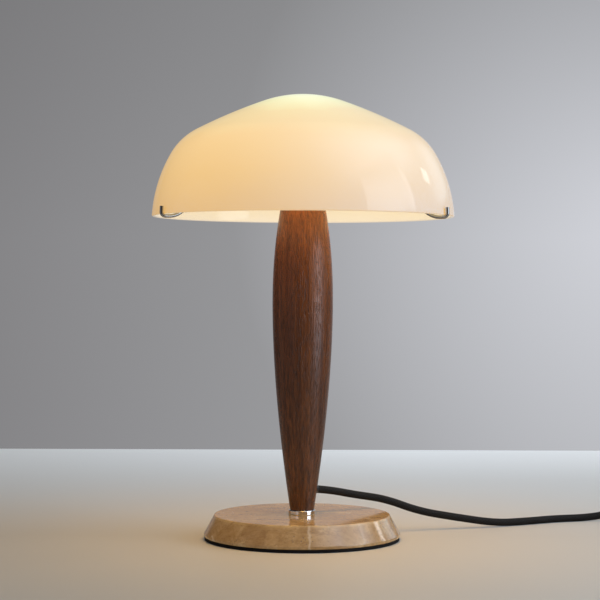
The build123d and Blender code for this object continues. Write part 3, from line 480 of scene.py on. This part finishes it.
def lit_globe():
    """Frosted globe lit from inside: brightest where it faces the eye, warmer at its edge and its neck."""
    lights = [(0.0, (1.0, 0.97, 0.84)), (0.5, (0.98, 0.88, 0.62)), (0.95, (0.84, 0.60, 0.29))]
    neck_light = (0.80, 0.56, 0.26, 1)
    material, tree, shader = new_material("bulb_opal", Roughness=0.4, Specular_IOR_Level=0.0,
                                          Emission_Strength=1.0)
    frost = noise(tree, stretched(tree, (1800, 1800, 1800)), detail=2.0)
    glow = ramp(tree, put(tree, "LayerWeight", {"Blend": 0.45}).outputs["Facing"], *lights)
    neck = between(tree, position(tree)["Z"], 0.343, 0.362, 0.75, 0.0)
    feed(tree, shader, Base_Color=mixed(tree, frost, (0.010, 0.0095, 0.009, 1), (0.014, 0.013, 0.012, 1)),
         Emission_Color=mixed(tree, neck, glow, neck_light), Normal=bump(tree, frost, 0.15, 0.00005))
    return material


finishes = {
    "opal_outside": opal("opal_outside", (0.145, 0.40, 0.62), *GLOW_OUTSIDE),
    # The inside's base is far darker than the outside's: painted shade on the inside of the same glass.
    "opal_inside": opal("opal_inside", (0.11, 0.14, 0.17), *GLOW_INSIDE),
    "walnut": walnut(),
    "stone": stone(),
    "pad": moulded("pad", (0.005, 0.0045, 0.0045), (0.010, 0.009, 0.009), grain=1600.0, gloss=0.8,
                   depth=0.0003, strength=0.6, Specular_IOR_Level=0.15),
    # The arms' chrome is darkened, as painted shade of the dark room it reflects; the collar's copy of it is
    # brightened, as painted brightness of its reflections.
    "chrome": metal("chrome", (0.32, 0.32, 0.325), (0.40, 0.40, 0.405), gloss=0.05, spread=0.06, lines=0.3),
    "chrome_painted_bright": metal("chrome_painted_bright", (0.82, 0.82, 0.83), (0.90, 0.90, 0.90), gloss=0.05, spread=0.06,
                           lines=0.3),
    "nickel": metal("nickel", (0.60, 0.57, 0.52), (0.72, 0.69, 0.64), gloss=0.2, spread=0.15),
    "steel": metal("steel", (0.42, 0.42, 0.43), (0.55, 0.55, 0.56), gloss=0.32, spread=0.2),
    "brass": metal("brass", (0.58, 0.40, 0.16), (0.74, 0.55, 0.26), gloss=0.26, spread=0.18),
    "black_plastic": moulded("black_plastic", (0.014, 0.014, 0.0145), (0.022, 0.022, 0.0225), gloss=0.42),
    "rocker_plastic": moulded("rocker_plastic", (0.018, 0.018, 0.018), (0.028, 0.028, 0.028), gloss=0.2,
                              strength=0.1),
    "holder_ceramic": moulded("holder_ceramic", (0.70, 0.67, 0.61), (0.78, 0.76, 0.71), gloss=0.3,
                              strength=0.2),
    "black_glaze": moulded("black_glaze", (0.01, 0.01, 0.012), (0.02, 0.02, 0.024), gloss=0.1,
                           strength=0.08),
    "bulb_white": moulded("bulb_white", (0.76, 0.75, 0.71), (0.82, 0.81, 0.78), gloss=0.3, strength=0.1),
    "bulb_opal": lit_globe(),
    "led_aluminium": moulded("led_aluminium", (0.74, 0.74, 0.72), (0.82, 0.82, 0.8), strength=0.2),
    "brown_wire": moulded("brown_wire", (0.12, 0.05, 0.025), (0.17, 0.075, 0.035), gloss=0.32, strength=0.1),
    "blue_wire": moulded("blue_wire", (0.03, 0.075, 0.28), (0.05, 0.11, 0.38), gloss=0.32, strength=0.1),
    "cord_braid": braided(),
    "cord_rubber": moulded("cord_rubber", (0.007, 0.007, 0.007), (0.013, 0.012, 0.012), grain=1800.0,
                           gloss=0.55, depth=0.0001),
    "tie_strap": strap_weave(),
}


def linked(name, data):
    made = bpy.data.objects.new(name, data)
    bpy.context.scene.collection.objects.link(made)
    return made


def mesh_of(name, bm):
    mesh = bpy.data.meshes.new(name)
    bm.to_mesh(mesh)
    bm.free()
    return mesh


def finished(mesh, *names):
    if mesh.materials:
        mesh.materials.clear()
    for name in names:
        mesh.materials.append(finishes[name])


def smooth(mesh):
    for face in mesh.polygons:
        face.use_smooth = True


def piece(name, bm, body, slot, replaced=(), names=()):
    """Object from a bmesh, smooth but for its sharp edges, riding on a body in place of CAD nodes."""
    mesh = mesh_of(name, bm)
    smooth(mesh)
    mesh.set_sharp_from_angle(angle=math.radians(SHARP_ANGLE))
    made = linked(name, mesh)
    finished(mesh, *(names or [slot]))
    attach(made, body)
    if replaced:
        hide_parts(*replaced)
    return made


def whole(bm):
    return bm.verts[:] + bm.edges[:] + bm.faces[:]


def verts_in(made):
    return [part for part in made["geom"] if isinstance(part, bmesh.types.BMVert)]


def rounded(bm, geom, offset, segments, affect="EDGES"):
    bmesh.ops.bevel(bm, geom=geom, offset=offset, affect=affect, segments=segments, profile=0.5, material=-1)


def thickened(made, thickness):
    wall = made.modifiers.new("thickness", "SOLIDIFY")
    wall.thickness = thickness
    wall.offset = -1.0


def edged(made, width):
    edge = made.modifiers.new("edge", "BEVEL")
    edge.width = width
    edge.segments = 2
    edge.limit_method = "ANGLE"


def shade_side(bm, inset):
    """Chain of arcs from the crown to the rim, moved inwards by the inset."""
    last = bm.verts.new((0, 0, SHADE_TOP - inset))
    slope = 0.0
    for radius, swing, steps in SHADE_ARCS:
        reach = radius - inset
        lean = math.radians(slope)
        centre = last.co - Vector((math.sin(lean), 0, math.cos(lean))) * reach
        made = bmesh.ops.spin(bm, geom=[last], cent=centre, axis=(0, 1, 0), angle=math.radians(swing),
                              steps=steps)
        last = next(part for part in made["geom_last"] if isinstance(part, bmesh.types.BMVert))
        slope += swing
    fall = last.co.z - RIM_LEVEL
    made = bmesh.ops.extrude_vert_indiv(bm, verts=[last])
    last = made["verts"][0]
    last.co += Vector((fall / math.tan(math.radians(slope)), 0, -fall))
    return last


def opal_shade():
    """Turned shell with a rounded rim; its outside and its inside have a finish each."""
    bm = bmesh.new()
    outer = shade_side(bm, 0.0)
    inner = shade_side(bm, SHADE_WALL)
    bm.edges.new((outer, inner))
    bmesh.ops.spin(bm, geom=bm.verts[:] + bm.edges[:], cent=(0, 0, 0), axis=(0, 0, 1), angle=2 * math.pi,
                   steps=SHADE_TURNS, use_merge=True)
    bmesh.ops.remove_doubles(bm, verts=bm.verts, dist=SAME_PLACE)
    bmesh.ops.recalc_face_normals(bm, faces=bm.faces)
    rim = [edge for edge in bm.edges if all(abs(vert.co.z - RIM_LEVEL) < SAME_PLACE for vert in edge.verts)
           and edge.is_manifold and edge.calc_face_angle() > math.radians(SHARP_ANGLE)]
    rounded(bm, rim, RIM_ROUND, 5)
    for face in bm.faces:
        outward = face.calc_center_median() - Vector((0, 0, SHADE_HEART))
        face.material_index = 0 if face.normal.dot(outward) > 0 else 1
    piece("opal_shade", bm, "shade", "opal_glass", ["shade"], ["opal_outside", "opal_inside"])


def cord_line(name, points):
    """NURBS line drawn by a cord's control points, given in millimetres."""
    curve = bpy.data.curves.new(name, "CURVE")
    curve.dimensions = "3D"
    curve.resolution_u = 8
    spline = curve.splines.new("NURBS")
    spline.points.add(len(points) - 1)
    for point, place in zip(spline.points, points):
        point.co = (*(MM * part for part in place), 1.0)
    spline.order_u = 3
    spline.use_endpoint_u = True
    return curve


def cord_tube(name, points, replaced):
    """Mesh tube on the NURBS line, with a map of metres along it and once round it."""
    curve = cord_line(name, points)
    line = linked(name + "_line", curve)
    bare = bpy.data.meshes.new_from_object(line)
    path = [vert.co.copy() for vert in bare.vertices]
    run = [0.0]
    for before, after in zip(path, path[1:]):
        run.append(run[-1] + (after - before).length)
    curve.bevel_depth = CORD_DIAMETER / 2
    curve.bevel_resolution = 5
    curve.use_fill_caps = True
    mesh = bpy.data.meshes.new_from_object(line)
    mesh.name = name
    for corner in mesh.uv_layers[0].data:
        step = round(corner.uv[0] * (len(run) - 1))
        corner.uv = (run[step], corner.uv[1])
    bpy.data.objects.remove(line)
    made = linked(name, mesh)
    finished(mesh, "cord_braid")
    smooth(mesh)
    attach(made, "lamp")
    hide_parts(*replaced)
    return made, path


def coil_points():
    """Turns inwards on the table, then outwards on top of them, clockwise from above."""
    turns = TURNS_IN + TURNS_OUT
    points = []
    for step in range(round(turns * TURN_POINTS) + 1):
        turn = step / TURN_POINTS
        radius = (COIL_INNER + COIL_PITCH * abs(turn - TURNS_IN)) / math.cos(math.pi / TURN_POINTS)
        climbed = min(1.0, max(0.0, (turn - TURNS_IN) / TURNS_CLIMB + 0.5))
        rise = COIL_PITCH * climbed ** 2 * (3 - 2 * climbed)
        angle = -2 * math.pi * turn
        points.append((COIL_CENTRE[0] + radius * math.cos(angle), COIL_CENTRE[1] + radius * math.sin(angle),
                       COIL_FLOOR + rise))
    return points


def coil_strap():
    """Woven strap round the coil's turns, with its loose end lapped over the top and the back."""
    left = MM * COIL_CENTRE[0] - STRAP_WIDTH / 2
    back = STRAP_FAR + STRAP_STEP
    over = STRAP_TOP + STRAP_STEP
    bm = bmesh.new()
    corners = ((STRAP_NEAR, 0.0), (STRAP_NEAR, STRAP_TOP), (STRAP_FAR, STRAP_TOP), (STRAP_FAR, 0.0))
    ring = [bm.verts.new((left, *corner)) for corner in corners]
    for start, end in zip(ring, ring[1:] + ring[:1]):
        bm.edges.new((start, end))
    lapped = ((STRAP_LAP_START, over), (back, over), (back, STRAP_LAP_END))
    tail = [bm.verts.new((left, *corner)) for corner in lapped]
    bm.edges.new(tail[:2])
    bm.edges.new(tail[1:])
    rounded(bm, ring, STRAP_CORNER, 6, "VERTICES")
    rounded(bm, [tail[1]], STRAP_CORNER + STRAP_STEP, 6, "VERTICES")
    made = bmesh.ops.extrude_edge_only(bm, edges=bm.edges[:])
    bmesh.ops.translate(bm, verts=verts_in(made), vec=(STRAP_WIDTH, 0, 0))
    bmesh.ops.recalc_face_normals(bm, faces=bm.faces)
    made = piece("coil_strap", bm, "lamp", "tie_strap", ["cord_tie"])
    thickened(made, STRAP_THICKNESS)
    edged(made, STRAP_EDGE)
    return made


def ribbed_sleeve(foot, nose, length, start, pitch, cuts, depth):
    """Tapered rubber sleeve along +Z from its foot, cut across on two sides and, next, on the other two."""
    gap = SLEEVE_CUT * pitch
    bm = bmesh.new()
    bmesh.ops.create_cone(bm, cap_ends=True, segments=48, radius1=foot, radius2=nose, depth=length)
    bmesh.ops.translate(bm, verts=bm.verts, vec=(0, 0, length / 2))
    lip = [edge for edge in bm.edges if all(vert.co.z > length / 2 for vert in edge.verts)]
    rounded(bm, lip, SLEEVE_LIP, 3)
    for cut in range(cuts):
        for level in (start + cut * pitch, start + cut * pitch + gap):
            bmesh.ops.bisect_plane(bm, geom=whole(bm), plane_co=(0, 0, level), plane_no=(0, 0, 1))
    sunk = []
    for face in bm.faces:
        middle = face.calc_center_median()
        cut, rest = divmod(middle.z - start, pitch)
        across = middle.x if cut % 2 else middle.y
        if 0 <= cut < cuts and rest < gap and abs(across) > SLEEVE_BRIDGE * middle.xy.length:
            sunk.append(face)
    bmesh.ops.inset_region(bm, faces=sunk, thickness=SLEEVE_INSET, depth=-depth, use_even_offset=True)
    return bm


def plug_sleeve():
    bm = ribbed_sleeve(**PLUG_SLEEVE)
    turn = Vector((0, 0, 1)).rotation_difference(-PLUG_WAY).to_matrix().to_4x4()
    place = Matrix.Translation(PLUG_PLACE + PLUG_NECK * PLUG_WAY)
    bmesh.ops.transform(bm, matrix=place @ turn, verts=bm.verts)
    made = piece("ribbed_plug_sleeve", bm, "lamp", slots["plug_sleeve"], ["plug_sleeve"])
    edged(made, SLEEVE_EDGE)
    return made


def switch_sleeves():
    bm = ribbed_sleeve(**SWITCH_SLEEVE)
    turn = Matrix.Rotation(-math.pi / 2, 4, "Y")
    bmesh.ops.transform(bm, matrix=Matrix.Translation(SWITCH_END) @ turn, verts=bm.verts)
    other = bmesh.ops.duplicate(bm, geom=whole(bm))
    bmesh.ops.rotate(bm, cent=SWITCH_CENTRE, matrix=Matrix.Rotation(math.pi, 3, "Z"), verts=verts_in(other))
    made = piece("ribbed_switch_sleeves", bm, "lamp", slots["switch_sleeves"], ["switch_sleeves"])
    edged(made, SLEEVE_EDGE)
    return made


def plug_frame():
    """From the plug's own axes, X across it and Z towards its pins, to the lamp's."""
    side = PLUG_WAY.cross(Vector((0, 0, 1)))
    turn = Matrix((side, PLUG_WAY.cross(side), PLUG_WAY)).transposed().to_4x4()
    return Matrix.Translation(PLUG_PLACE) @ turn


def plug_grips():
    """Low ribs on each narrow side of the plug, that sink into it at their ends."""
    centre = (GRIP_CENTRE, 0, 0)
    swing = math.radians(GRIP_SWING)
    bm = bmesh.new()
    made = bmesh.ops.create_circle(bm, cap_ends=True, segments=10, radius=GRIP_RADIUS)
    bmesh.ops.rotate(bm, cent=(0, 0, 0), matrix=Matrix.Rotation(math.pi / 2, 3, "X"), verts=made["verts"])
    bmesh.ops.translate(bm, verts=made["verts"], vec=(GRIP_CENTRE + GRIP_REACH, 0, GRIP_START))
    bmesh.ops.rotate(bm, cent=centre, matrix=Matrix.Rotation(-swing / 2, 3, "Z"), verts=made["verts"])
    bmesh.ops.spin(bm, geom=bm.faces[:], cent=centre, axis=(0, 0, 1), angle=swing, steps=14)
    bmesh.ops.recalc_face_normals(bm, faces=bm.faces)
    rib = whole(bm)
    for step in range(1, GRIP_COUNT):
        copy = bmesh.ops.duplicate(bm, geom=rib)
        bmesh.ops.translate(bm, verts=verts_in(copy), vec=(0, 0, GRIP_PITCH * step))
    other = bmesh.ops.duplicate(bm, geom=whole(bm))
    bmesh.ops.rotate(bm, cent=(0, 0, 0), matrix=Matrix.Rotation(math.pi, 3, "Z"), verts=verts_in(other))
    bmesh.ops.transform(bm, matrix=plug_frame(), verts=bm.verts)
    return piece("plug_grips", bm, "lamp", slots["plug_body"])


def pin_insulation():
    """Black skin on the rear half of each plug pin."""
    middle = PLUG_FRONT + PIN_SKIN_LENGTH / 2 - PIN_SKIN_SUNK
    bm = bmesh.new()
    for side in (-1, 1):
        made = bmesh.ops.create_cone(bm, cap_ends=True, segments=32, radius1=PIN_SKIN_RADIUS,
                                     radius2=PIN_SKIN_RADIUS, depth=PIN_SKIN_LENGTH)
        bmesh.ops.translate(bm, verts=made["verts"], vec=(side * PIN_SPACING / 2, 0, middle))
    front = [edge for edge in bm.edges if all(vert.co.z > middle for vert in edge.verts)]
    rounded(bm, front, PIN_SKIN_ROUND, 2)
    bmesh.ops.transform(bm, matrix=plug_frame(), verts=bm.verts)
    return piece("pin_insulation", bm, "lamp", slots["plug_body"])


def switch_seam():
    """Dark joint line round the switch where its two shells meet."""
    bm = bmesh.new()
    bmesh.ops.create_grid(bm, x_segments=1, y_segments=1, size=0.5)
    bmesh.ops.scale(bm, vec=(*(side + 2 * SEAM_PROUD for side in SWITCH_OUTLINE), 1), verts=bm.verts)
    rounded(bm, bm.verts[:], SWITCH_CORNER, 10, "VERTICES")
    bmesh.ops.delete(bm, geom=bm.faces[:], context="FACES_ONLY")
    made = bmesh.ops.extrude_edge_only(bm, edges=bm.edges[:])
    bmesh.ops.translate(bm, verts=verts_in(made), vec=(0, 0, SEAM_HEIGHT))
    bmesh.ops.translate(bm, verts=bm.verts, vec=Vector(SWITCH_CENTRE) - Vector((0, 0, SEAM_HEIGHT / 2)))
    bmesh.ops.recalc_face_normals(bm, faces=bm.faces)
    made = piece("switch_seam", bm, "lamp", slots["switch_cover"], names=["pad"])
    thickened(made, SEAM_THICKNESS)
    return made


def ribbed_band(name, node, radius, low, high, rib, count):
    """Ring of upright round-ended ribs, half sunk in the side of a turned piece."""
    bm = bmesh.new()
    bmesh.ops.create_cone(bm, cap_ends=True, segments=12, radius1=rib, radius2=rib, depth=high - low)
    ends = [edge for edge in bm.edges if abs(edge.verts[0].co.z - edge.verts[1].co.z) < SAME_PLACE]
    rounded(bm, ends, RIB_ROUND * rib, 3)
    bmesh.ops.translate(bm, verts=bm.verts, vec=(radius, 0, (low + high) / 2))
    turn = 2 * math.pi * (count - 1) / count
    bmesh.ops.spin(bm, geom=whole(bm), cent=(0, 0, 0), axis=(0, 0, 1), angle=turn, steps=count - 1,
                   use_duplicate=True)
    piece(name, bm, "lamp", slots[node])


lamp_cord, lamp_path = cord_tube("lamp_cord", LEAD_POINTS, ["cord_lead"])
plug_cord, plug_path = cord_tube("plug_cord", LINK_POINTS + coil_points() + TAIL_POINTS,
                                 ["cord_link", "cord_coil", "cord_tail"])
switch_sleeves()
switch_seam()
plug_sleeve()
plug_grips()
pin_insulation()
coil_strap()

opal_shade()
ribbed_band("ring_grip", "hub_ring", **RING_GRIP)
ribbed_band("skirt_grip", "holder_skirt", **SKIRT_GRIP)

for name, node in nodes.items():
    if not node.hide_render:
        finished(node.data, slots[name])
finished(nodes["collar"].data, "chrome_painted_bright")


# Stage: pale table top, soft window on the right, weak fill, the lamp's own light
def staged(name, bm, material):
    mesh = mesh_of(name, bm)
    mesh.materials.append(material)
    made = linked(name, mesh)
    return made


def floor():
    """Pale table top; for the camera alone, a painted sheen towards its far edge and painted window light
    towards the right.
    """
    bm = bmesh.new()
    bmesh.ops.create_grid(bm, x_segments=1, y_segments=1, size=FLOOR_HALF)
    material, tree, shader = new_material("floor", Roughness=0.5, Emission_Strength=1.0)
    tone = noise(tree, stretched(tree, (3, 3, 3)), detail=2.0)
    parts = position(tree)
    # Painted sheen towards the far edge and painted window light towards the right, seen by the camera
    # alone.
    far = times(tree, between(tree, parts["Y"], 0.02, 0.88, 0.0, 0.50),
                between(tree, parts["X"], -0.5, 0.15, 0.5, 1.0))
    right = times(tree, between(tree, parts["X"], -0.05, 0.3, 0.0, 0.12),
                  between(tree, parts["Y"], 0.0, 0.5, 1.0, 0.0))
    shown = times(tree, maths(tree, "ADD", far, right), put(tree, "LightPath").outputs["Is Camera Ray"])
    feed(tree, shader, Base_Color=mixed(tree, tone, (0.556, 0.534, 0.484, 1), (0.590, 0.569, 0.514, 1)),
         Emission_Color=mixed(tree, shown, (0, 0, 0, 1), (0.93, 1.02, 1.13, 1)))
    staged("floor", bm, material)


def window(place, width, height, strength):
    """Tall window on the right: it fades out upwards, with a brighter strip near each side."""
    bm = bmesh.new()
    bmesh.ops.create_grid(bm, x_segments=1, y_segments=1, size=0.5)
    bmesh.ops.scale(bm, vec=(width, height, 1), verts=bm.verts)
    material, tree, shader = new_material("window", Base_Color=(0, 0, 0, 1), Specular_IOR_Level=0.0,
                                          Emission_Strength=strength)
    parts = position(tree)
    across = maths(tree, "ABSOLUTE", parts["X"])
    body = between(tree, across, 0.44 * width, 0.5 * width, 1.0, 0.0)
    strip = between(tree, apart(tree, across, 0.43 * width), 0.02 * width, 0.045 * width, 0.8, 0.0)
    fade = ramp(tree, between(tree, parts["Y"], -0.5 * height, 0.5 * height),
                *((share, (level, level, level)) for share, level in WINDOW_LEVELS))
    low = between(tree, parts["X"], -0.3 * width, 0.25 * width, 0.05, 2.3)
    high = between(tree, parts["X"], -0.5 * width, 0.45 * width, 0.6, 1.4)
    side = blended(tree, between(tree, parts["Y"], -0.28 * height, -0.12 * height), low, high)
    light = times(tree, maths(tree, "ADD", body, strip), times(tree, fade, side))
    feed(tree, shader, Emission_Color=mixed(tree, light, (0, 0, 0, 1), (0.87, 0.98, 1.10, 1)),
         Alpha=between(tree, light, 0.0, 0.5))
    made = staged("window", bm, material)
    made.location = place
    made.rotation_euler = Vector((-1, 0, 0)).to_track_quat("Z", "Y").to_euler()
    made.visible_camera = False


def panel(name, place, aim, width, height, power, colour, shape="RECTANGLE", turn=0.0):
    light = bpy.data.lights.new(name, "AREA")
    light.shape = shape
    light.size = width
    light.size_y = height
    light.energy = power
    light.color = colour
    made = linked(name, light)
    made.location = place
    facing = (Vector(aim) - Vector(place)).to_track_quat("-Z", "Y")
    made.rotation_euler = (facing @ Quaternion((0, 0, 1), math.radians(turn))).to_euler()
    made.visible_camera = False


def off(tree, facing, aim):
    """How far one direction lies from another."""
    return put(tree, "VectorMath", {0: facing, 1: aim}, operation="DISTANCE").outputs["Value"]


def surroundings(tree, facing, glossy):
    """Pale wall behind and, for the gloss alone, a dark room in front and three paler patches."""
    wall_patch = (0.2, 0.98, 0.05)
    high_patch = (0.72, -0.16, 0.66)
    back_patch = (0.66, 0.70, 0.26)
    way = put(tree, "SeparateXYZ", {0: facing}).outputs
    wall = mixed(tree, between(tree, way["X"], -0.18, 0.18), (0.235, 0.232, 0.24, 1), (0.40, 0.405, 0.42, 1))
    patch = between(tree, off(tree, facing, wall_patch), 0.0, 0.24, 0.8, 0.0)
    wall = mixed(tree, patch, wall, (0.72, 0.735, 0.79, 1))
    wall = mixed(tree, between(tree, way["Z"], 0.03, 0.18, 0.0, 0.3), wall, (0.10, 0.10, 0.10, 1))
    side = between(tree, apart(tree, way["X"], -0.68), 0.08, 0.24, 1.0, 0.0)
    side = times(tree, side, between(tree, way["Y"], -0.2, 0.0, 1.0, 0.0))
    side = times(tree, side, between(tree, way["Z"], 0.15, 0.35, 1.0, 0.0))
    room = mixed(tree, side, (0.035, 0.034, 0.034, 1), (0.42, 0.42, 0.46, 1))
    edge = maths(tree, "SUBTRACT", 0.72, times(tree, way["X"], 0.2))
    front = times(tree, between(tree, way["Y"], edge, 0.9, 1.0, 0.0),
                  between(tree, way["Z"], 0.5, 0.85, 1.0, 0.0))
    seen = mixed(tree, times(tree, front, glossy), wall, room)
    high = between(tree, off(tree, facing, high_patch), 0.2, 0.8, 1.0, 0.0)
    high = times(tree, high, between(tree, way["Z"], 0.35, 0.6))
    seen = mixed(tree, times(tree, high, glossy), seen, (2.2, 2.6, 3.1, 1))
    back = between(tree, off(tree, facing, back_patch), 0.12, 0.36, 1.0, 0.0)
    back = times(tree, back, between(tree, way["Z"], 0.135, 0.175))
    return mixed(tree, times(tree, back, glossy), seen, (0.85, 1.1, 1.3, 1))


def studio():
    """World for the camera and the gloss, weak even fill for the rest, a window and the lamp's own light."""
    world = bpy.data.worlds.new("studio")
    world.use_nodes = True
    bpy.context.scene.world = world
    tree = world.node_tree
    tree.nodes.clear()
    path = put(tree, "LightPath").outputs
    around = surroundings(tree, put(tree, "TexCoord").outputs["Generated"], path["Is Glossy Ray"])
    seen = put(tree, "Background", {"Color": around, "Strength": 1.0})
    soft = put(tree, "Background", {"Color": (1.0, 0.985, 0.965, 1), "Strength": FILL_STRENGTH})
    shown = maths(tree, "MAXIMUM", path["Is Camera Ray"], path["Is Glossy Ray"])
    shown = maths(tree, "MAXIMUM", shown, path["Is Transmission Ray"])
    both = put(tree, "MixShader", {0: shown, 1: soft.outputs[0], 2: seen.outputs[0]})
    put(tree, "OutputWorld", {"Surface": both.outputs[0]})
    window(**WINDOW)
    panel("slit", **SLIT)
    panel("own_light", **OWN_LIGHT)


def camera():
    lens = bpy.data.cameras.new("camera")
    lens.lens = VIEW_LENS
    lens.sensor_width = VIEW_SENSOR
    lens.clip_start = 0.05
    lens.clip_end = 20.0
    made = linked("camera", lens)
    made.location = (VIEW_SIDE, -VIEW_DISTANCE, VIEW_HEIGHT)
    made.rotation_euler = (math.radians(90 - VIEW_TILT), math.radians(VIEW_ROLL), 0)
    bpy.context.scene.camera = made


floor()
studio()
camera()
bpy.context.scene.view_settings.view_transform = "Standard"
